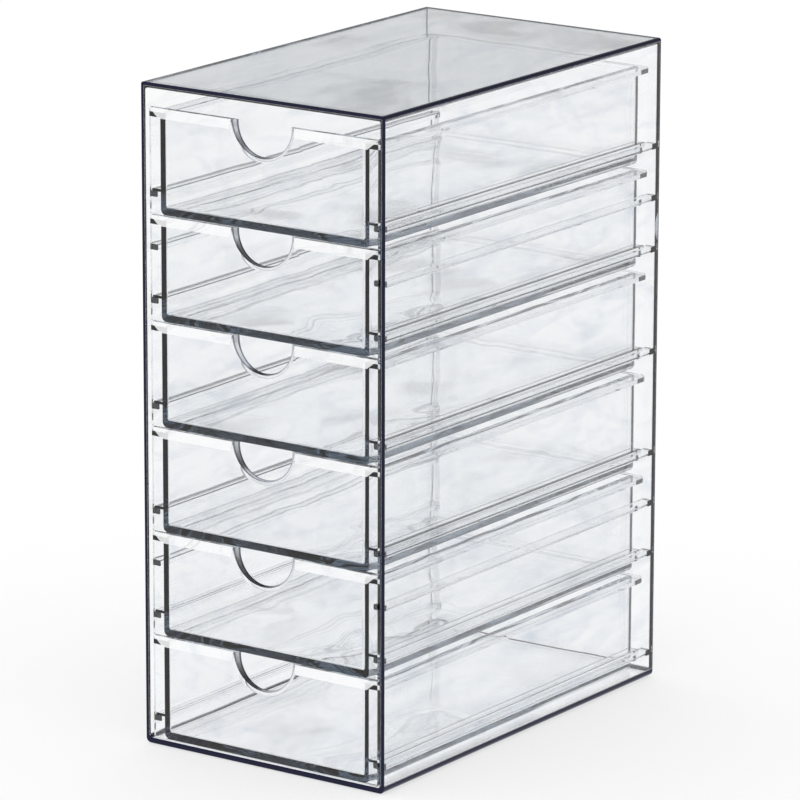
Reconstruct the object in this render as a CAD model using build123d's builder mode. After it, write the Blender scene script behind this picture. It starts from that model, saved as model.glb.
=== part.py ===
"""Clear desktop organizer: a moulded case, open at the front, and six equal drawers that slide on its rails.

Millimetres. X runs from left to right, the open front faces -Y and Z is up.
The origin is the middle of the case's footprint, on the surface that it stands on.
"""

import os

from build123d import *

os.makedirs("parts", exist_ok=True)

# ---- Driving dimensions -------------------------------------------------------------------------

# Case: one moulding, closed on five sides.
case_width = 108.0
case_depth = 180.0
wall = 2.0
base_round = 2.0  # outer radius of the two long edges at the bottom
top_round = 1.0  # outer radius of the two long edges at the top
back_round = 1.0  # outer radius around the back wall
cavity_round = 0.8  # inner radius of the four long edges
mouth_round = 0.2  # softened edges of the open front

# Drawers: how they stack in the case.
drawer_count = 6
drawer_height = 39.2
drawer_gap = 0.6  # air under each drawer
top_space = 7.2  # air over the top drawer
side_clearance = 1.3  # air between a drawer's front or rim and the case's side walls
back_clearance = 1.2  # air between a closed drawer's rim and the case's back wall

# Drawer front: a thin plate with a flat field and a sloping border that meets in mitred corners.
front_thickness = 2.4
border_slope = 0.6  # how far the border falls back from the field to the plate's outer edge
border_side = 4.4
border_top = 3.6
border_bottom = 2.8

# Finger notch: a half round in the top edge of the front, with a bevel around its mouth. It narrows towards
# the back of the plate, where its centre also lies lower.
notch_radius = 15.1  # at the face of the plate, outside the bevel
notch_bevel = 1.2
notch_bevel_depth = 0.6
notch_rise = 1.0  # how far its centre lies above the drawer's top edge, at the face
notch_throat = 11.8  # radius at the back of the plate
throat_drop = 0.8  # how far its centre lies below the drawer's top edge, at the back

# Tray behind the front.
tray_wall = 2.0
tray_floor = 2.4
tray_corner = 3.0  # outer radius of the two upright corners at the back
floor_fillet = 1.2  # inside radius around the floor
floor_round = 1.6  # outside radius around the floor
rim_drop = 1.8  # how far the rim lies below the top edge of the front
rim_width = 4.4  # how far the rim stands out of the tray's side walls
rim_back = 0.8  # how far it stands out of the back wall
rim_thickness = 1.8

# Rails on the case's side walls, and the runners of the drawers that rest on them.
rail_width = 4.0
rail_thickness = 2.2
rail_nose = 0.5  # radius of the rail's two free edges
rail_start = 0.3  # air between a closed drawer's front and the ends of the rails
runner_height = 8.2  # from a drawer's underside to the underside of its runners
runner_width = 4.1
runner_thickness = 1.0
runner_nose = 0.3

# The same case also takes taller drawers, each as high as one and a half of these.
tall_drawer_ratio = 1.5

# ---- Derived sizes and places -------------------------------------------------------------------

pitch = drawer_height + drawer_gap
case_height = wall + drawer_count * pitch + top_space + wall
cavity_width = case_width - 2 * wall
cavity_height = case_height - 2 * wall
front_y = -case_depth / 2
cavity_back_y = case_depth / 2 - wall

front_width = cavity_width - 2 * side_clearance
tray_width = front_width - 2 * rim_width
rim_back_y = cavity_back_y - back_clearance
tray_back_y = rim_back_y - rim_back
plate_back_y = front_y + front_thickness

first_drawer_z = wall + drawer_gap
rail_front_y = plate_back_y + rail_start
lowest_rail_z = first_drawer_z + runner_height  # top face of the lowest rails

# Planes parallel to the front, with X to the right and Z up. Each faces -Y.
front_plane = Plane(origin=(0, front_y, 0), x_dir=(1, 0, 0), z_dir=(0, -1, 0))
slope_plane = front_plane.offset(-border_slope)
notch_lip_plane = front_plane.offset(-notch_bevel_depth)
plate_back_plane = front_plane.offset(-front_thickness)
rail_plane = front_plane.offset(front_y - rail_front_y)
back_plane = front_plane.offset(-case_depth)


def rail_levels():
    """Top face of each pair of rails: one for each drawer, and those that only taller drawers use."""
    steps = set(range(drawer_count))
    tall_count = int(drawer_count / tall_drawer_ratio)
    for tall_drawer in range(tall_count):
        steps.add(tall_drawer * tall_drawer_ratio)
    return [lowest_rail_z + step * pitch for step in sorted(steps)]


def tray_plan(width, back_y, corner, plane):
    """Plan of a tray outline on a level plane: square at the front plate, rounded at the two back corners."""
    start_y = front_y + front_thickness / 2
    with BuildSketch(plane) as plan:
        with Locations((0, (start_y + back_y) / 2)):
            Rectangle(width, back_y - start_y)
        fillet(plan.vertices().group_by(Axis.Y)[-1], radius=corner)
    return plan.sketch


# ---- Case ---------------------------------------------------------------------------------------


def make_case():
    """The moulded case with its rails."""
    with BuildPart() as case:
        with BuildSketch(back_plane) as outline:
            with Locations((0, case_height / 2)):
                Rectangle(case_width, case_height)
            fillet(outline.vertices().group_by(Axis.Y)[0], radius=base_round)
            fillet(outline.vertices().group_by(Axis.Y)[-1], radius=top_round)
        extrude(amount=case_depth)
        fillet(case.faces().sort_by(Axis.Y)[-1].edges(), radius=back_round)

        with BuildSketch(front_plane) as cavity:
            with Locations((0, case_height / 2)):
                Rectangle(cavity_width, cavity_height)
            fillet(cavity.vertices(), radius=cavity_round)
        extrude(amount=-(case_depth - wall), mode=Mode.SUBTRACT)
        fillet(case.faces().sort_by(Axis.Y)[0].edges(), radius=mouth_round)

        nose_x = cavity_width / 2 - rail_width
        with BuildSketch(rail_plane) as rails:
            for level in rail_levels():
                for side in (-1, 1):
                    with Locations((side * (nose_x + (rail_width + wall / 2) / 2), level - rail_thickness / 2)):
                        Rectangle(rail_width + wall / 2, rail_thickness)
            free_corners = rails.vertices().filter_by(lambda corner: abs(corner.X) < nose_x + rail_width / 2)
            fillet(free_corners, radius=rail_nose)
        extrude(amount=-(cavity_back_y - rail_front_y))
    return case.part


# ---- Drawers ------------------------------------------------------------------------------------


def make_hollow(bottom):
    """The space inside one drawer, rounded around its floor."""
    plane = Plane.XY.offset(bottom + tray_floor)
    with BuildPart() as hollow:
        with BuildSketch(plane) as plan:
            with Locations((0, (plate_back_y + tray_back_y - tray_wall) / 2)):
                Rectangle(tray_width - 2 * tray_wall, tray_back_y - tray_wall - plate_back_y)
            fillet(plan.vertices(), radius=tray_corner - tray_wall)
        extrude(amount=drawer_height)
        fillet(hollow.faces().sort_by(Axis.Z)[0].edges(), radius=min(floor_fillet, 0.45 * drawer_height))
    return hollow.part


def make_drawer(bottom):
    """One drawer, with its underside at the height given."""
    top = bottom + drawer_height
    rim_top = top - rim_drop
    hollow = make_hollow(bottom)
    body_plan = tray_plan(tray_width, tray_back_y, tray_corner, Plane.XY.offset(bottom))
    rim_plan = tray_plan(front_width, rim_back_y, tray_corner + rim_back, Plane.XY.offset(rim_top - rim_thickness))

    with BuildPart() as drawer:
        # Tray, with a rounded edge around the floor on its three free sides.
        add(body_plan)
        extrude(amount=rim_top - bottom)
        floor_edges = drawer.faces().sort_by(Axis.Z)[0].edges()
        fillet(floor_edges.filter_by(lambda edge: edge.center().Y > plate_back_y), radius=floor_round)

        # Rim around the top of the tray.
        add(rim_plan)
        extrude(amount=rim_thickness)

        # Runners, whose undersides lie on the rails.
        runner_back_y = tray_back_y - tray_corner
        with BuildSketch(plate_back_plane) as runners:
            for side in (-1, 1):
                span = runner_width + tray_wall / 2
                runner_x = side * (tray_width / 2 + runner_width - span / 2)
                with Locations((runner_x, bottom + runner_height + runner_thickness / 2)):
                    Rectangle(span, runner_thickness)
            free_corners = runners.vertices().filter_by(lambda corner: abs(corner.X) > tray_width / 2)
            fillet(free_corners, radius=runner_nose)
        extrude(amount=-(runner_back_y - plate_back_y))

        # Front plate: its sloping border, then the even thickness behind.
        with BuildSketch(front_plane) as field:
            with Locations((0, bottom + border_bottom + (drawer_height - border_top - border_bottom) / 2)):
                Rectangle(front_width - 2 * border_side, drawer_height - border_top - border_bottom)
        with BuildSketch(slope_plane) as plate:
            with Locations((0, bottom + drawer_height / 2)):
                Rectangle(front_width, drawer_height)
        loft()
        with BuildSketch(slope_plane) as plate_core:
            with Locations((0, bottom + drawer_height / 2)):
                Rectangle(front_width, drawer_height)
        extrude(amount=-(front_thickness - border_slope))

        add(hollow, mode=Mode.SUBTRACT)

        # Finger notch: the bevel around its mouth, then the narrowing way through the plate.
        with BuildSketch(front_plane) as mouth:
            with Locations((0, top + notch_rise)):
                Circle(notch_radius)
        with BuildSketch(notch_lip_plane) as lip:
            with Locations((0, top + notch_rise)):
                Circle(notch_radius - notch_bevel)
        loft(mode=Mode.SUBTRACT)
        with BuildSketch(notch_lip_plane) as lip_again:
            with Locations((0, top + notch_rise)):
                Circle(notch_radius - notch_bevel)
        with BuildSketch(plate_back_plane) as throat:
            with Locations((0, top - throat_drop)):
                Circle(notch_throat)
        loft(mode=Mode.SUBTRACT)
    return drawer.part


# ---- Export -------------------------------------------------------------------------------------

case = make_case()
case.label = "case"
export_step(case, "parts/case.step")

for number in range(1, drawer_count + 1):
    drawer = make_drawer(first_drawer_z + (drawer_count - number) * pitch)
    drawer.label = f"drawer_{number}"
    export_step(drawer, f"parts/drawer_{number}.step")
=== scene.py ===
# %% [markdown]
# # A clear six-drawer organizer
#
# The real object is seven clear plastic mouldings: a tall case, open at the front, and six equal drawers.
# Nothing on it is painted, so everything that the eye sees comes from three things: the shape of the walls,
# how the plastic bends and soaks up light, and the pale studio around it. This lesson builds those three.
#
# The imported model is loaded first. It holds every size and place, in metres, with +Z up and the open front
# at -Y, and nothing below moves it.

# %% Load the frame
import math
import bmesh
import bpy
from mathutils import Matrix, Vector


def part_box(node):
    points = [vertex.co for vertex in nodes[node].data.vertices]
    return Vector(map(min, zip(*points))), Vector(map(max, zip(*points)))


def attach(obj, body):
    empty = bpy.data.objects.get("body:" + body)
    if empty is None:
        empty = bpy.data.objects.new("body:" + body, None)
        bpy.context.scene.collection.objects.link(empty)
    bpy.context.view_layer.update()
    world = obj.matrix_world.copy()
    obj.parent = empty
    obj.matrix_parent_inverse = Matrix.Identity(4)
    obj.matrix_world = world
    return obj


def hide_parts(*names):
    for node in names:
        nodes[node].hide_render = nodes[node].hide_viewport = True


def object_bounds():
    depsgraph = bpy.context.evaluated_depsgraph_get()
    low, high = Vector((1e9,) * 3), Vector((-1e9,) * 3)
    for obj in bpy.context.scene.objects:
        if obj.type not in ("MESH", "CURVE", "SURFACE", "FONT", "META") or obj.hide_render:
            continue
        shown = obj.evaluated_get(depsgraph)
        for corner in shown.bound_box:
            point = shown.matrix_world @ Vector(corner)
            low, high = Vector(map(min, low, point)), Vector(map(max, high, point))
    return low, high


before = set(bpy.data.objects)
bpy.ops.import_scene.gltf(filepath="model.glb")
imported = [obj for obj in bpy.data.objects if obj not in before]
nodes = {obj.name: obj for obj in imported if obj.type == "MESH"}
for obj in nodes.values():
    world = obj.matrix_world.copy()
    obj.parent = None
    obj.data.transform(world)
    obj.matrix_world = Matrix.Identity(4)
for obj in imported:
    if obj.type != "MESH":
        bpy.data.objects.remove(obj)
cad_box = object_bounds()
scene = bpy.context.scene
drawer_nodes = sorted(name for name in nodes if name.startswith("drawer_"))
print("nodes:", ", ".join(sorted(nodes)))

# %% [markdown]
# ## Sizes
#
# A moulder's drawing gives a few sizes, and everything else follows from them. The outer corners of each
# drawer come from the frame. Wall sizes are written in millimetres, each where it is first needed. Faces and
# edges are found by their place, to within a tenth of a millimetre.

# %% The moulding's outer sizes
MM = 0.001
hair = 0.1 * MM

front_thickness = 2.4 * MM
rim_width = 4.4 * MM
rim_back = 0.8 * MM

low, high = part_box("drawer_1")
front_y = low.y
rim_back_y = high.y
drawer_height = high.z - low.z
front_width = high.x - low.x
plate_back_y = front_y + front_thickness
tray_back_y = rim_back_y - rim_back
tray_half = front_width / 2 - rim_width
drawer_depth = rim_back_y - front_y
print(f"a drawer is {front_width / MM:.1f} x {drawer_depth / MM:.1f} x {drawer_height / MM:.1f} mm")

# %% [markdown]
# ## Helpers for modelling by hand
#
# Blender's operators act on whatever is selected, so the work on a piece starts by selecting it alone. Most
# pieces here start as blocks. These are joined, or cut from each other, at once, because the next step works
# on the edges that this makes.

# %% Helpers for blocks


def only(piece):
    """Leaves one object selected and active."""
    bpy.ops.object.select_all(action="DESELECT")
    piece.select_set(True)
    bpy.context.view_layer.objects.active = piece


def block(name, corner_a, corner_b):
    """A cube primitive, added at its size and place."""
    a, b = Vector(corner_a), Vector(corner_b)
    bpy.ops.mesh.primitive_cube_add(size=1, location=(a + b) / 2, scale=b - a)
    bpy.ops.object.transform_apply(location=True, rotation=True, scale=True)
    piece = bpy.context.object
    piece.name = name
    return piece


def combine(piece, tool, operation):
    """Joins a tool to a piece or cuts it away, and applies that at once."""
    only(piece)
    change = piece.modifiers.new("combine", "BOOLEAN")
    change.operation = operation
    change.solver = "EXACT"
    change.object = tool
    bpy.ops.object.modifier_apply(modifier=change.name)
    bpy.data.objects.remove(tool)


# %% [markdown]
# A modeller clicks on the edges to be rounded. A script could list their numbers instead, but these change
# as soon as a size does. So edges and faces are picked by their place or their direction.

# %% Helpers to pick and round edges
parallel = 0.999  # cosine from which two directions count as the same


def pick(piece, kind, wanted):
    """Selects, in edit mode, the edges or faces for which wanted(element) is true, and counts them."""
    only(piece)
    bpy.ops.object.mode_set(mode="EDIT")
    bpy.ops.mesh.select_mode(type=kind)
    bpy.ops.mesh.select_all(action="DESELECT")
    mesh = bmesh.from_edit_mesh(piece.data)
    found = [e for e in (mesh.edges if kind == "EDGE" else mesh.faces) if wanted(e)]
    for element in found:
        element.select_set(True)
    bmesh.update_edit_mesh(piece.data)
    return len(found)


def leave_edit():
    """Back to object mode."""
    bpy.ops.object.mode_set(mode="OBJECT")


def middle(edge):
    """The middle of an edge."""
    return (edge.verts[0].co + edge.verts[1].co) / 2


def runs_along(edge, axis):
    """True if an edge runs along one axis: 0 for X, 1 for Y, 2 for Z."""
    run = (edge.verts[1].co - edge.verts[0].co).normalized()
    return abs(run[axis]) > parallel


def round_edges(piece, wanted, radius, segments):
    """Bevels the picked edges to a round."""
    count = pick(piece, "EDGE", wanted)
    bpy.ops.mesh.bevel(offset=radius, segments=segments, affect="EDGES", profile=0.5)
    leave_edit()
    print("rounded", count, "edges of the", piece.name)


# %% [markdown]
# ## One drawer
#
# The real drawer is one shot of plastic: a tray, a thin front with a sloping border, a rim around the tray
# and two runners at its sides. It could be drawn as one profile and swept, but its front, floor and sides
# all differ, so it is made the way a pattern maker would: blocks at their size and place are rounded, joined
# and then hollowed out. Joining them matters for clear plastic, because light must not meet a surface where
# the real moulding has none.

# %% The tray block and its rim
tray_corner = 3.0 * MM
floor_round = 1.6 * MM
rim_drop = 1.8 * MM
rim_thickness = 1.8 * MM

floor_z = low.z  # the drawer is modelled where the top drawer is
top_z = floor_z + drawer_height
rim_top_z = top_z - rim_drop
inside_y = front_y + front_thickness / 2


def back_corner(edge):
    """The upright edges at the back."""
    return runs_along(edge, 2) and middle(edge).y > 0


def around_floor(edge):
    """The free edges of the tray's underside."""
    return middle(edge).z < floor_z + hair and middle(edge).y > inside_y + hair


tray = block("tray", (-tray_half, inside_y, floor_z), (tray_half, tray_back_y, rim_top_z))
round_edges(tray, back_corner, tray_corner, segments=10)
round_edges(tray, around_floor, floor_round, segments=8)

rim = block(
    "rim",
    (-front_width / 2, inside_y, rim_top_z - rim_thickness),
    (front_width / 2, rim_back_y, rim_top_z),
)
round_edges(rim, back_corner, tray_corner + rim_back, segments=12)
combine(tray, rim, "UNION")
print("tray and rim:", len(tray.data.polygons), "faces")

# %% [markdown]
# A thin rib on each side of the tray lies on a rail of the case and carries the drawer. It could be pulled
# out of the tray's side, but a small block with rounded free edges, joined on, keeps its own even thickness.

# %% The two runners
tray_wall = 2.0 * MM
runner_height = 8.2 * MM
runner_width = 4.1 * MM
runner_thickness = 1.0 * MM
runner_nose = 0.3 * MM

runner_z = floor_z + runner_height
runner_outer = tray_half + runner_width


def free_edge(edge):
    """The long free edges of a runner."""
    return runs_along(edge, 1) and abs(middle(edge).x) > runner_outer - hair


for side in (-1, 1):
    near, far = side * (tray_half - tray_wall / 2), side * runner_outer
    runner = block(
        "runner",
        (min(near, far), inside_y, runner_z),
        (max(near, far), tray_back_y - tray_corner, runner_z + runner_thickness),
    )
    round_edges(runner, free_edge, runner_nose, segments=4)
    combine(tray, runner, "UNION")
print("with runners:", len(tray.data.polygons), "faces")

# %% [markdown]
# The front plate starts as a block as thick as its outer edge. Its border could be cut by four slanted
# planes. Pulling the front face forward and making it smaller gives all four slopes at once, and they meet
# in mitred corners, as on a picture frame.

# %% The front plate with its sloping border
border_slope = 0.6 * MM
border_side = 4.4 * MM
border_top = 3.6 * MM
border_bottom = 2.8 * MM

plate = block(
    "plate",
    (-front_width / 2, front_y + border_slope, floor_z),
    (front_width / 2, plate_back_y, top_z),
)
pick(plate, "FACE", lambda f: f.normal.y < -parallel)
bpy.ops.mesh.extrude_region_move(TRANSFORM_OT_translate={"value": (0, -border_slope, 0)})
shrink_x = 1 - 2 * border_side / front_width
shrink_z = 1 - (border_top + border_bottom) / drawer_height
plate_middle = (0, front_y, floor_z + drawer_height / 2)
bpy.ops.transform.resize(value=(shrink_x, 1, shrink_z), center_override=plate_middle)
bpy.ops.transform.translate(value=(0, 0, (border_bottom - border_top) / 2))
leave_edit()
combine(tray, plate, "UNION")
print("with its front:", len(tray.data.polygons), "faces")

# %% [markdown]
# The walls could be given their thickness by a Solidify modifier, but then the floor and the front would be
# as thin as the sides. So the air in the drawer is cut away: a block with rounded upright edges and a
# rounded bottom, which reaches a little out of the top. This comes after the rim, which is a solid slab
# until now, so that both are opened by one cut.

# %% Hollow out the tray
tray_floor = 2.4 * MM
inside_round = 0.9 * MM  # around the floor, just under the radius of the upright corners
past_top = 5 * MM

hollow = block(
    "hollow",
    (-tray_half + tray_wall, plate_back_y, floor_z + tray_floor),
    (tray_half - tray_wall, tray_back_y - tray_wall, top_z + past_top),
)
round_edges(hollow, lambda e: runs_along(e, 2), tray_corner - tray_wall, segments=8)
round_edges(hollow, lambda e: middle(e).z < floor_z + tray_floor + hair, inside_round, segments=8)
combine(tray, hollow, "DIFFERENCE")
print("hollowed:", len(tray.data.polygons), "faces")

# %% [markdown]
# The finger notch has a bevel around its mouth and narrows behind it, so its wall leans. A plain cylinder
# would cut a straight wall, and leave no bevel to catch the light. The cutter has a ring wherever the wall's
# slope changes or its painted dark outline ends, and reaches a little past both faces of the plate.

# %% The rings of the finger notch
notch_radius = 15.1 * MM
notch_bevel = 1.2 * MM
notch_bevel_depth = 0.6 * MM
notch_rise = 1.0 * MM
notch_throat = 11.8 * MM
throat_drop = 0.8 * MM

notch_sides = 128
before = 0.5 * MM  # how far it starts in front of the plate
mouth_grow = notch_bevel / notch_bevel_depth
throat_run = front_thickness - notch_bevel_depth
throat_shrink = (notch_radius - notch_bevel - notch_throat) / throat_run
throat_fall = (notch_rise + throat_drop) / throat_run
after = 0.6 * MM  # how far the cutter reaches past the back of the plate
outline = 0.45 * MM  # depth of the painted dark outline at each end of the notch's wall


def wall_ring(depth):
    """The notch's wall at a depth behind its bevel: its place, radius and the height of its centre."""
    radius = notch_radius - notch_bevel - throat_shrink * depth
    return front_y + notch_bevel_depth + depth, radius, notch_rise - throat_fall * depth


rings = [(front_y - before, notch_radius + mouth_grow * before, notch_rise)]
rings += [wall_ring(depth) for depth in (0, outline, throat_run - outline, throat_run + after)]
print("notch cutter:", len(rings), "rings")

# %% [markdown]
# One circle becomes the cutter. Its face is pulled back to the next ring and scaled about the middle of the
# notch there, ring by ring. The middle sinks on the way, so the wall leans at its sides and is nearly
# straight at the bottom.

# %% Cut the finger notch
ring_y, ring_radius, ring_rise = rings[0]
bpy.ops.mesh.primitive_circle_add(
    vertices=notch_sides,
    radius=ring_radius,
    fill_type="NGON",
    location=(0, ring_y, top_z + ring_rise),
    rotation=(math.pi / 2, 0, 0),
)
bpy.ops.object.transform_apply(location=True, rotation=True, scale=True)
cutter = bpy.context.object
bpy.ops.object.mode_set(mode="EDIT")
bpy.ops.mesh.select_mode(type="FACE")
bpy.ops.mesh.select_all(action="SELECT")
for next_y, next_radius, next_rise in rings[1:]:
    shift = (0, next_y - ring_y, next_rise - ring_rise)
    grow = next_radius / ring_radius
    bpy.ops.mesh.extrude_region_move(TRANSFORM_OT_translate={"value": shift})
    bpy.ops.transform.resize(value=(grow, 1, grow), center_override=(0, next_y, top_z + next_rise))
    ring_y, ring_radius, ring_rise = next_y, next_radius, next_rise
bpy.ops.mesh.select_all(action="SELECT")
bpy.ops.mesh.normals_make_consistent(inside=False)
leave_edit()
combine(tray, cutter, "DIFFERENCE")
print("with its notch:", len(tray.data.polygons), "faces")

# %% [markdown]
# A mould never leaves a knife edge, and a hair of round on each edge is what draws the thin dark lines in
# clear plastic, because it throws the light sideways. A material can fake such rounds, but the light inside
# the walls would not bend at them. So a Bevel modifier rounds the sharp edges. It gives its new faces a
# second material slot for a moment, so that they can be told apart afterwards; these faces are later painted
# dark, as painted shade that deepens the lines. Weighted normals keep the flat walls flat where they meet
# the rounds.

# %% Soften the edges
softening = 0.25 * MM
sharp = math.radians(30)
FACES, EDGES = 0, 1  # material slots, until the faces are marked
for slot_name in ("faces", "edges"):
    tray.data.materials.append(bpy.data.materials.new(slot_name))
only(tray)
soft = tray.modifiers.new("soften", "BEVEL")
soft.width = softening
soft.segments = 2
soft.limit_method = "ANGLE"
soft.angle_limit = sharp
soft.use_clamp_overlap = True
soft.material = EDGES
bpy.ops.object.modifier_apply(modifier=soft.name)
bpy.ops.object.shade_smooth_by_angle(angle=sharp)
weigh = tray.modifiers.new("weigh", "WEIGHTED_NORMAL")
weigh.keep_sharp = True
bpy.ops.object.modifier_apply(modifier=weigh.name)
print("softened:", len(tray.data.polygons), "faces,", len(tray.data.vertices), "points")

# %% [markdown]
# Some places on the moulding have a finish of their own, or painted light and shade, and numbers on each
# face say which. The border along the top edge of the front is polished and slopes just enough to mirror the
# bright side of the room; it is made part metal, a painted highlight, so that it is a plain white band. The
# wall of the notch is rubbed a little dull by fingers, and painted a little darker as shade. The rounded
# edges are painted dark lines, the rim's outer sides a faint painted grey shade, and the floor's outer sides
# are painted from dark shade to a bright highlight. These could be separate materials, but the numbers can
# be part way between two finishes.

# %% Find the places with a finish of their own, or painted light and shade
notch_wall_shade = 0.18  # how dark the notch's wall is painted, as shade, where an edge is 1
rim_painted_shade = 0.13  # the same for the outer side of the rim
slope_angle = math.atan2(border_slope, border_top)
slope_normal = Vector((0, -math.cos(slope_angle), math.sin(slope_angle)))
lip_y = front_y + notch_bevel_depth
same_way = 0.9995  # cosine between a face's normal and the slope's, where they are the same
sideways = 0.3  # least X of the normal of the floor's sides, their rounds included


def on_highlight_border(face):
    """The sloping border along the top edge, which gets a painted highlight."""
    return face.normal.dot(slope_normal) > same_way and face.center.z > top_z - border_top


def on_notch_wall(face):
    """The wall of the notch behind its bevel, around the notch's middle."""
    run = face.center - Vector((0, face.center.y, top_z))
    near = notch_throat - MM < run.length < notch_radius
    return near and lip_y - hair < face.center.y < plate_back_y + hair and face.normal.dot(run) < 0


def on_floor_side(face):
    """The long outer sides of the floor, with the rounds under them."""
    low_down = face.center.z < floor_z + tray_floor
    return low_down and abs(face.normal.x) > sideways and abs(face.center.x) > tray_half - 2 * floor_round


def on_rim_side(face):
    """The long outer sides of the rim, behind the front plate."""
    return abs(face.center.x) > front_width / 2 - hair and face.center.y > plate_back_y + MM


def painted_shade_of(face):
    """Painted shade: 1 on rounded edges and the outlines of the notch's wall, less on the rest of it and on
    the rim.
    """
    if face.material_index == EDGES:
        return 1.0
    if on_rim_side(face):
        return rim_painted_shade
    if not on_notch_wall(face):
        return 0.0
    from_lip = face.center.y - lip_y
    return 1.0 if min(from_lip, throat_run - from_lip) < outline else notch_wall_shade


# %% [markdown]
# The numbers are stored as attributes of the faces. A copy of the mesh keeps them, and the material reads
# them by their names. The two slots have done their work, so all faces go back to the first.

# %% Mark the faces
HIGHLIGHT_MARK, DULL, SHADE_MARK, FLOOR = "highlight_band", "dull", "dark", "floor"
marks = {
    HIGHLIGHT_MARK: [float(on_highlight_border(face)) for face in tray.data.polygons],
    DULL: [float(on_notch_wall(face)) for face in tray.data.polygons],
    SHADE_MARK: [painted_shade_of(face) for face in tray.data.polygons],
    FLOOR: [float(on_floor_side(face)) for face in tray.data.polygons],
}
for name, values in marks.items():
    mark = tray.data.attributes.new(name, "FLOAT", "FACE")
    mark.data.foreach_set("value", values)
    print(name, "faces:", int(sum(values)))
for face in tray.data.polygons:
    face.material_index = FACES

# %% [markdown]
# One mould makes all the drawers, so one model is copied for each place. Linked copies would share a mesh,
# but here a piece's place is kept in its mesh, so each copy has its own.

# %% Copy it for all six
drawers = []
for name in drawer_nodes:
    only(tray)
    bpy.ops.object.duplicate(linked=False)
    drawer = bpy.context.object
    drawer.name = f"{name}_moulding"
    drawer.data.name = drawer.name
    bpy.ops.transform.translate(value=(0, 0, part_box(name)[0].z - low.z))
    bpy.ops.object.transform_apply(location=True, rotation=True, scale=True)
    drawers.append(drawer)
bpy.data.objects.remove(tray)
print("drawers:", len(drawers))

# %% [markdown]
# ## The clear plastic
#
# A material is a tree of nodes, joined by wires. Written out one by one, the nodes would hide what a finish
# is made of. The kinds that come back in every finish are therefore made by helpers: wires, ramps, noise and
# mixed colours.

# %% Helpers for material nodes


def wire(tree, source, output, target, socket):
    """Joins an output to an input."""
    tree.links.new(source.outputs[output], target.inputs[socket])


def ramp(tree, value, start, end, interpolation="SMOOTHSTEP"):
    """Rises from 0 to 1 between two values."""
    node = tree.nodes.new("ShaderNodeMapRange")
    node.interpolation_type = interpolation
    node.inputs["From Min"].default_value = start
    node.inputs["From Max"].default_value = end
    tree.links.new(value, node.inputs["Value"])
    return node.outputs["Result"]


def noise(tree, place, per_metre, detail, distortion):
    """Soft noise, with its lumps per metre along X, Y and Z."""
    stretch = tree.nodes.new("ShaderNodeMapping")
    stretch.inputs["Scale"].default_value = per_metre
    wire(tree, place, "Object", stretch, "Vector")
    lumps = tree.nodes.new("ShaderNodeTexNoise")
    lumps.inputs["Scale"].default_value = 1.0
    lumps.inputs["Detail"].default_value = detail
    lumps.inputs["Distortion"].default_value = distortion
    wire(tree, stretch, "Vector", lumps, "Vector")
    return lumps


def mixed(tree, factor, first, second):
    """One colour or another by a factor. Each colour is written out or comes from a node."""
    mix = tree.nodes.new("ShaderNodeMix")
    mix.data_type = "RGBA"
    tree.links.new(factor, mix.inputs["Factor"])
    for socket, colour in (("A", first), ("B", second)):
        if isinstance(colour, tuple):
            mix.inputs[socket].default_value = colour
        else:
            tree.links.new(colour, mix.inputs[socket])
    return mix.outputs["Result"]


# %% [markdown]
# Moulded walls are never quite flat. The usual Bump node works from the distance between neighbouring
# pixels, which means little after ten bends of a ray, and it leaves jagged lines. Here the surface normal
# is tilted directly by a soft noise, so a ripple is the same ripple however the light reaches it.

# %% A rippled surface
ripple_detail, ripple_distortion = 0.6, 0.5


def rippled_normal(tree, place, per_metre, tilt):
    """The surface normal, tilted a little by noise."""
    lumps = noise(tree, place, per_metre, ripple_detail, ripple_distortion)
    centred = tree.nodes.new("ShaderNodeVectorMath")
    centred.operation = "SUBTRACT"
    centred.inputs[1].default_value = (0.5, 0.5, 0.5)
    wire(tree, lumps, "Color", centred, 0)
    slope = tree.nodes.new("ShaderNodeVectorMath")
    slope.operation = "SCALE"
    slope.inputs["Scale"].default_value = tilt
    wire(tree, centred, "Vector", slope, 0)
    surface = tree.nodes.new("ShaderNodeNewGeometry")
    tilted = tree.nodes.new("ShaderNodeVectorMath")
    tilted.operation = "ADD"
    wire(tree, surface, "Normal", tilted, 0)
    wire(tree, slope, "Vector", tilted, 1)
    unit = tree.nodes.new("ShaderNodeVectorMath")
    unit.operation = "NORMALIZE"
    wire(tree, tilted, "Vector", unit, 0)
    return unit


# %% [markdown]
# Glass could be faked with alpha, but then nothing behind it would bend and the edges would stay pale. The
# Principled shader with full transmission bends light as the plastic does. The plastic also soaks up a
# little light all the way through: a wall 2 mm thick loses only a few percent, but light that runs along
# inside a wall loses most of its strength, so it comes out dark and bluish at the edges.
#
# Where streams of melt met in the mould, they leave faint smears. These are noise too, stretched from front
# to back.

# %% Clear plastic
soaked_colour = (0.66, 0.70, 0.74, 1.0)  # the lower a colour, the faster it is soaked up
soaked_density = 40.0
plastic_ior = 1.49
clear_tint = (0.998, 0.999, 1.0, 1.0)
flow_tint = (0.90, 0.92, 0.945, 1.0)
flow_start, flow_full = 0.50, 0.74  # noise at which a flow mark starts and is at its strongest
flow_detail, flow_distortion = 2.0, 1.2


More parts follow.
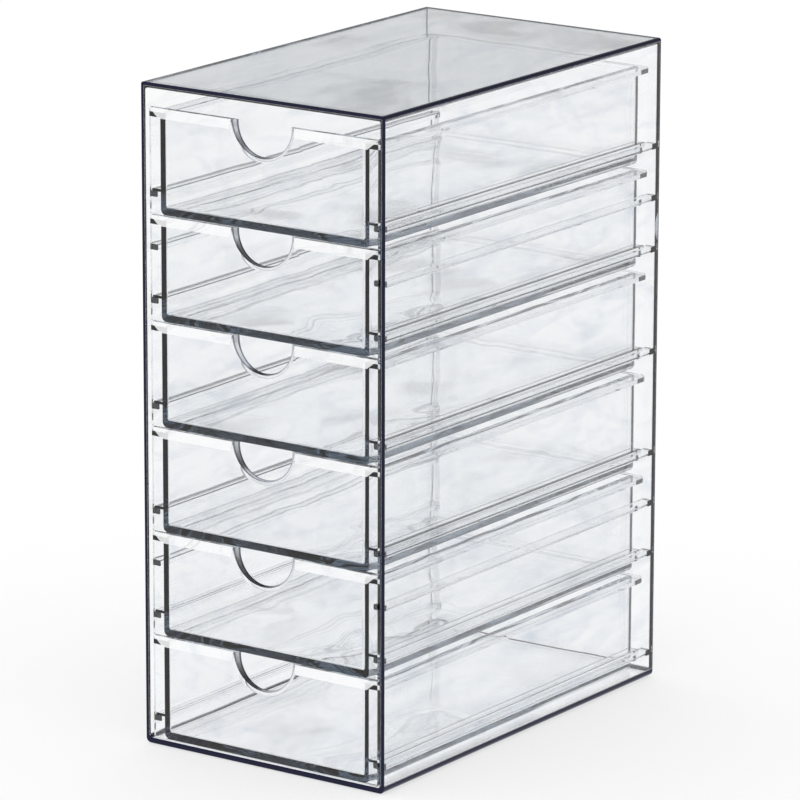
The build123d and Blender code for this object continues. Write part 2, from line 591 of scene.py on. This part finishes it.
def clear_plastic(name, ripples_per_metre, tilt, flow_per_metre):
    """Clear moulded plastic: soft ripples, faint flow marks and the light that it soaks up."""
    material = bpy.data.materials.new(name)
    material.use_nodes = True
    tree = material.node_tree
    shader = tree.nodes["Principled BSDF"]
    shader.inputs["Transmission Weight"].default_value = 1.0
    shader.inputs["IOR"].default_value = plastic_ior
    shader.inputs["Roughness"].default_value = 0.0

    soak = tree.nodes.new("ShaderNodeVolumeAbsorption")
    soak.inputs["Color"].default_value = soaked_colour
    soak.inputs["Density"].default_value = soaked_density
    wire(tree, soak, "Volume", tree.nodes["Material Output"], "Volume")

    place = tree.nodes.new("ShaderNodeTexCoord")
    normal = rippled_normal(tree, place, ripples_per_metre, tilt)
    wire(tree, normal, "Vector", shader, "Normal")

    smears = noise(tree, place, flow_per_metre, flow_detail, flow_distortion)
    flow = mixed(tree, ramp(tree, smears.outputs["Fac"], flow_start, flow_full), clear_tint, flow_tint)
    return material, tree, shader, flow


case_plastic, case_tree, case_shader, case_flow = clear_plastic(
    "clear_case_plastic", ripples_per_metre=(30, 24, 36), tilt=0.045, flow_per_metre=(60, 18, 85)
)
drawer_plastic, drawer_tree, drawer_shader, drawer_flow = clear_plastic(
    "clear_drawer_plastic", ripples_per_metre=(38, 32, 44), tilt=0.06, flow_per_metre=(75, 22, 100)
)
print("plastics:", case_plastic.name, drawer_plastic.name)

# %% [markdown]
# The finishes, and the painted light and shade, are worked out from numbers: where a point lies on the
# piece, and what its face is marked with. A painted picture could hold them too, but it would blur at the
# edges of a face. Numbers stay sharp.

# %% Helpers for sums and places


def math_node(tree, operation, first=None, second=None):
    """A Math node, with numbers or nodes as its inputs."""
    node = tree.nodes.new("ShaderNodeMath")
    node.operation = operation
    for index, value in enumerate((first, second)):
        if isinstance(value, (int, float)):
            node.inputs[index].default_value = value
        elif value is not None:
            tree.links.new(value, node.inputs[index])
    return node.outputs["Value"]


def product(tree, *factors):
    """Several numbers or sockets multiplied."""
    total = factors[0]
    for factor in factors[1:]:
        total = math_node(tree, "MULTIPLY", total, factor)
    return total


def places(tree):
    """X, Y and Z of the piece's own coordinates, in metres."""
    coordinates = tree.nodes.new("ShaderNodeTexCoord")
    parts = tree.nodes.new("ShaderNodeSeparateXYZ")
    wire(tree, coordinates, "Object", parts, "Vector")
    return parts.outputs["X"], parts.outputs["Y"], parts.outputs["Z"]


def mark_of(tree, name):
    """One of the numbers that mark the faces."""
    reader = tree.nodes.new("ShaderNodeAttribute")
    reader.attribute_name = name
    return reader.outputs["Fac"]


# %% [markdown]
# The drawers' material now reads the marks. The polished border becomes part metal, a painted highlight,
# because a clear surface mirrors only a few percent. Seen from the side, the edge of a drawer's floor is
# slate in front, where light has come all the way across, and turns bright towards the back: both are
# painted, as shade in front and as a part-metal highlight behind. The tray's back corners are a darker band
# of painted shade, because there the wall is seen edge on.

# %% The drawers' painted highlights and shade, and the notch's dull wall
# painted highlight: how much of the sloping top border is white metal that mirrors the white room
border_highlight_metal = 0.72
notch_dullness = 0.38
# painted shade: the dark colour of the rounded edges, the notch, the rim and the floor's sides and corners
painted_edge_shade = (0.07, 0.075, 0.115, 1.0)
floor_side_highlight_metal = 0.6  # painted highlight: how much of a mirror the rear stretch of the floor's side is
floor_side_painted_shade = 0.28
floor_fade = (12 * MM, 29 * MM)  # places along Y between which the painted dark stretch turns to a painted bright one
# painted shade in a band at the tray's back corners, where the wall is seen edge on
corner_painted_shade = 0.35
corner_start = tray_back_y - 4.6 * MM
corner_end = tray_back_y - 1.2 * MM
corner_inner = tray_half - 1.2 * MM

across, along, _ = places(drawer_tree)

# painted shade in front and a painted highlight behind, on the floor's outer sides
floor_side = mark_of(drawer_tree, FLOOR)
rear = ramp(drawer_tree, along, *floor_fade)
front = math_node(drawer_tree, "SUBTRACT", 1.0, rear)
painted_rear_highlight = product(drawer_tree, floor_side, rear, floor_side_highlight_metal)
painted_front_shade = product(drawer_tree, floor_side, front, floor_side_painted_shade)

# the band of painted shade at the back corners
past_start = math_node(drawer_tree, "GREATER_THAN", along, corner_start)
before_end = math_node(drawer_tree, "LESS_THAN", along, corner_end)
outside = math_node(drawer_tree, "GREATER_THAN", math_node(drawer_tree, "ABSOLUTE", across), corner_inner)
corner = product(drawer_tree, past_start, before_end, outside, corner_painted_shade)

# the painted highlights: the top border and the rear of the floor's sides become part metal
painted_border_highlight = product(drawer_tree, mark_of(drawer_tree, HIGHLIGHT_MARK), border_highlight_metal)
painted_highlights = math_node(drawer_tree, "MAXIMUM", painted_border_highlight, painted_rear_highlight)
drawer_tree.links.new(painted_highlights, drawer_shader.inputs["Metallic"])
rubbed = product(drawer_tree, mark_of(drawer_tree, DULL), notch_dullness)
drawer_tree.links.new(rubbed, drawer_shader.inputs["Roughness"])
# painted shade: the marked edges, notch and rim, the front of the floor's sides and the back corners turn
# dark
painted_darkness = math_node(drawer_tree, "MAXIMUM", mark_of(drawer_tree, SHADE_MARK), painted_front_shade)
painted_darkness = math_node(drawer_tree, "MAXIMUM", painted_darkness, corner)
drawer_colour = mixed(drawer_tree, painted_darkness, drawer_flow, painted_edge_shade)
drawer_tree.links.new(drawer_colour, drawer_shader.inputs["Base Color"])
print("drawers' plastic:", len(drawer_tree.nodes), "nodes")

# %% [markdown]
# The case keeps the imported shape, so its edges are found by place instead, and painted dark as shade. A
# point lies on an outer edge where it is close to two of the box's faces at once. So the faces that are near
# are counted, and one is taken away: that leaves 0 on a flat wall and 1 along an edge.

# %% The case's outer edges, painted dark as shade
case_low, case_high = cad_box
edge_reach = 1.5 * MM
mouth_reach = 0.4 * MM  # behind the open front, the side walls are clear right away
base_reach = 3.4 * MM  # the two long edges under the base are rounder, and dark further up
full_share = 0.8  # the share of a reach within which the edge is fully dark


def close_to(tree, distance, reach):
    """1 where a distance is small, and 0 from a reach on."""
    return ramp(tree, distance, reach, reach * full_share, "LINEAR")


case_places = places(case_tree)
near_faces = []
for axis, low_reach, high_reach in (
    (0, edge_reach, edge_reach),
    (1, mouth_reach, edge_reach),
    (2, base_reach, edge_reach),
):
    spot = case_places[axis]
    from_low = close_to(case_tree, math_node(case_tree, "SUBTRACT", spot, case_low[axis]), low_reach)
    from_high = close_to(case_tree, math_node(case_tree, "SUBTRACT", case_high[axis], spot), high_reach)
    near_faces.append(math_node(case_tree, "MAXIMUM", from_low, from_high))
near_two = math_node(case_tree, "ADD", near_faces[0], near_faces[1])
faces_near = math_node(case_tree, "ADD", near_two, near_faces[2])
limit = case_tree.nodes.new("ShaderNodeClamp")
case_tree.links.new(math_node(case_tree, "SUBTRACT", faces_near, 1.0), limit.inputs["Value"])
outer_edge = limit.outputs["Result"]
print(f"dark edges reach {edge_reach / MM:.1f} mm, along the base {base_reach / MM:.1f} mm")

# %% [markdown]
# The front ends of the rails are painted dark too, as shade, because they show the whole length of a rail
# end-on. Even a black plastic edge would mirror a few percent of a white room, and look grey. Where the
# shader is mostly metal, it mirrors in its own dark colour instead, so the painted edges stay dark.

# %% The rails' front ends, and the case's colour with its painted dark edges
rail_front_y = plate_back_y + 0.3 * MM
rail_reach = 0.15 * MM
inside_x = case_high.x - 2.1 * MM  # just inside the side walls
# how much metal the painted dark places are, so that they mirror in their dark colour
shade_metal = 0.9
# painted shade: the colours of the case's outer edges and the rails' front ends
case_edge_painted_shade = (0.018, 0.02, 0.045, 1.0)
rail_end_painted_shade = (0.012, 0.012, 0.02, 1.0)

across, along, _ = case_places
past_front = math_node(case_tree, "SUBTRACT", along, rail_front_y)
at_end = close_to(case_tree, math_node(case_tree, "ABSOLUTE", past_front), rail_reach)
inside = math_node(case_tree, "LESS_THAN", math_node(case_tree, "ABSOLUTE", across), inside_x)
rail_end = product(case_tree, at_end, inside)

case_colour = mixed(case_tree, outer_edge, case_flow, case_edge_painted_shade)
case_colour = mixed(case_tree, rail_end, case_colour, rail_end_painted_shade)
case_tree.links.new(case_colour, case_shader.inputs["Base Color"])
# the places with painted shade are made mostly metal, so that they mirror dark
painted_shade_place = math_node(case_tree, "MAXIMUM", outer_edge, rail_end)
case_tree.links.new(product(case_tree, painted_shade_place, shade_metal), case_shader.inputs["Metallic"])
print("case's plastic:", len(case_tree.nodes), "nodes")

# %% [markdown]
# Each moulding now gets its plastic. What it had before is cleared first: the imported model's own material,
# or the two slots that told the rounded edges apart.

# %% Give the pieces their plastic
for drawer in drawers:
    drawer.data.materials.clear()
    drawer.data.materials.append(drawer_plastic)
nodes["case"].data.materials.clear()
nodes["case"].data.materials.append(case_plastic)
print("pieces with their plastic:", 1 + len(drawers))

# %% [markdown]
# ## The pieces ride on the model
#
# Each drawer's moulding moves with its body and stands for its node. The case keeps its own node.

# %% Ride and replace
for name, drawer in zip(drawer_nodes, drawers):
    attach(drawer, name)
    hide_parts(name)
print("riding:", ", ".join(drawer.name for drawer in drawers))

# %% [markdown]
# ## The studio
#
# Clear plastic shows its surroundings more than itself, so the room is built before any lamp: here it is one
# soft white light all round, and a pale floor that runs off to a white horizon. The camera sees the floor as
# matte with a glow that lifts it to white, so it keeps the object's shadow. Rays that the plastic has
# mirrored or bent see plain white.

# %% Floor
floor_gap = 0.4 * MM  # a hard flat base stands on a film of air
floor_size = 8
floor_colour = 0.42
floor_glow = 0.60
bpy.ops.mesh.primitive_plane_add(size=floor_size, location=(0, 0, cad_box[0][2] - floor_gap))
floor = bpy.context.object
floor.name = "studio_floor"
floor_paint = bpy.data.materials.new("studio_floor_paint")
floor_paint.use_nodes = True
tree = floor_paint.node_tree
tree.nodes.remove(tree.nodes["Principled BSDF"])
matte = tree.nodes.new("ShaderNodeBsdfDiffuse")
matte.inputs["Color"].default_value = (floor_colour, floor_colour, floor_colour, 1.0)
glow = tree.nodes.new("ShaderNodeEmission")
glow.inputs["Strength"].default_value = floor_glow
bare = tree.nodes.new("ShaderNodeEmission")
seen = tree.nodes.new("ShaderNodeLightPath")
lit = tree.nodes.new("ShaderNodeAddShader")
by_camera = tree.nodes.new("ShaderNodeMixShader")
by_plastic = tree.nodes.new("ShaderNodeMixShader")
through = math_node(tree, "MAXIMUM", seen.outputs["Is Glossy Ray"], seen.outputs["Is Transmission Ray"])
tree.links.new(matte.outputs["BSDF"], lit.inputs[0])
tree.links.new(glow.outputs["Emission"], lit.inputs[1])
wire(tree, seen, "Is Camera Ray", by_camera, 0)
tree.links.new(matte.outputs["BSDF"], by_camera.inputs[1])
tree.links.new(lit.outputs["Shader"], by_camera.inputs[2])
tree.links.new(through, by_plastic.inputs[0])
tree.links.new(by_camera.outputs["Shader"], by_plastic.inputs[1])
tree.links.new(bare.outputs["Emission"], by_plastic.inputs[2])
wire(tree, by_plastic, "Shader", tree.nodes["Material Output"], "Surface")
floor.data.materials.append(floor_paint)
print(f"floor: {floor_gap / MM:.1f} mm under the base")

# %% [markdown]
# A gloss-white room would leave the flat top as white as the background. The real one mirrors something
# duller above and behind it. Only rays that are mirrored, and that have passed through hardly any plastic,
# see that grey, so the light that comes through the walls stays white.

# %% World
room_grey = (0.46, 0.48, 0.50, 1.0)
grey_above = (0.08, 0.14)  # how steeply a ray rises where the grey starts, and where it is full
grey_behind = (-0.3, 0.3)  # the same for how far it runs to the back
most_surfaces = 2.5  # a ray that has passed through more of them sees white
world = bpy.data.worlds.new("studio")
scene.world = world
world.use_nodes = True
tree = world.node_tree
backdrop = tree.nodes["Background"]
backdrop.inputs["Strength"].default_value = 1.0
look = tree.nodes.new("ShaderNodeTexCoord")
split = tree.nodes.new("ShaderNodeSeparateXYZ")
wire(tree, look, "Generated", split, "Vector")
seen = tree.nodes.new("ShaderNodeLightPath")
rise = ramp(tree, split.outputs["Z"], *grey_above)
behind = ramp(tree, split.outputs["Y"], *grey_behind)
shallow = math_node(tree, "LESS_THAN", seen.outputs["Transmission Depth"], most_surfaces)
keep = product(tree, rise, behind, seen.outputs["Is Singular Ray"], shallow)
tree.links.new(mixed(tree, keep, (1.0, 1.0, 1.0, 1.0), room_grey), backdrop.inputs["Color"])
print("world:", len(tree.nodes), "nodes")

# %% [markdown]
# ## Camera and view settings
#
# The camera was matched to the case's seven visible outer corners: where it stands, how it is turned and
# how long its lens is. It could be aimed with a constraint, but its three axes written out leave no doubt.

# %% Camera
turn, lift, roll = (math.radians(angle) for angle in (35.10, 14.50, 0.145))
distance = 2.2021
target = Vector((-0.0025, 0, 0.11996))
back = Vector((math.sin(turn) * math.cos(lift), -math.cos(turn) * math.cos(lift), math.sin(lift)))
right = Vector((math.cos(turn), math.sin(turn), 0))
up = back.cross(right)
rolled_right = math.cos(roll) * right + math.sin(roll) * up
rolled_up = math.cos(roll) * up - math.sin(roll) * right
lens = bpy.data.cameras.new("camera")
lens.lens = 265.15
lens.sensor_width = 36
lens.clip_start = 0.1
lens.clip_end = 50
camera = bpy.data.objects.new("camera", lens)
scene.collection.objects.link(camera)
pose = Matrix((rolled_right, rolled_up, back)).transposed().to_4x4()
pose.translation = target + back * distance
camera.matrix_world = pose
scene.camera = camera
print(f"camera: {distance:.2f} m from the organizer, lens {lens.lens:.0f} mm")

# %% [markdown]
# Light inside clear walls bounces many times before it comes out, and where it runs out of bounces it turns
# black, so the limits are raised. The Standard view shows each colour as it is written.

# %% View settings
plastic_bounces = 40
mirror_bounces = 16
scene.view_settings.view_transform = "Standard"
scene.cycles.max_bounces = plastic_bounces
scene.cycles.transmission_bounces = plastic_bounces
scene.cycles.glossy_bounces = mirror_bounces
scene.cycles.transparent_max_bounces = mirror_bounces
print("bounces:", plastic_bounces, "through plastic,", mirror_bounces, "off mirrors")
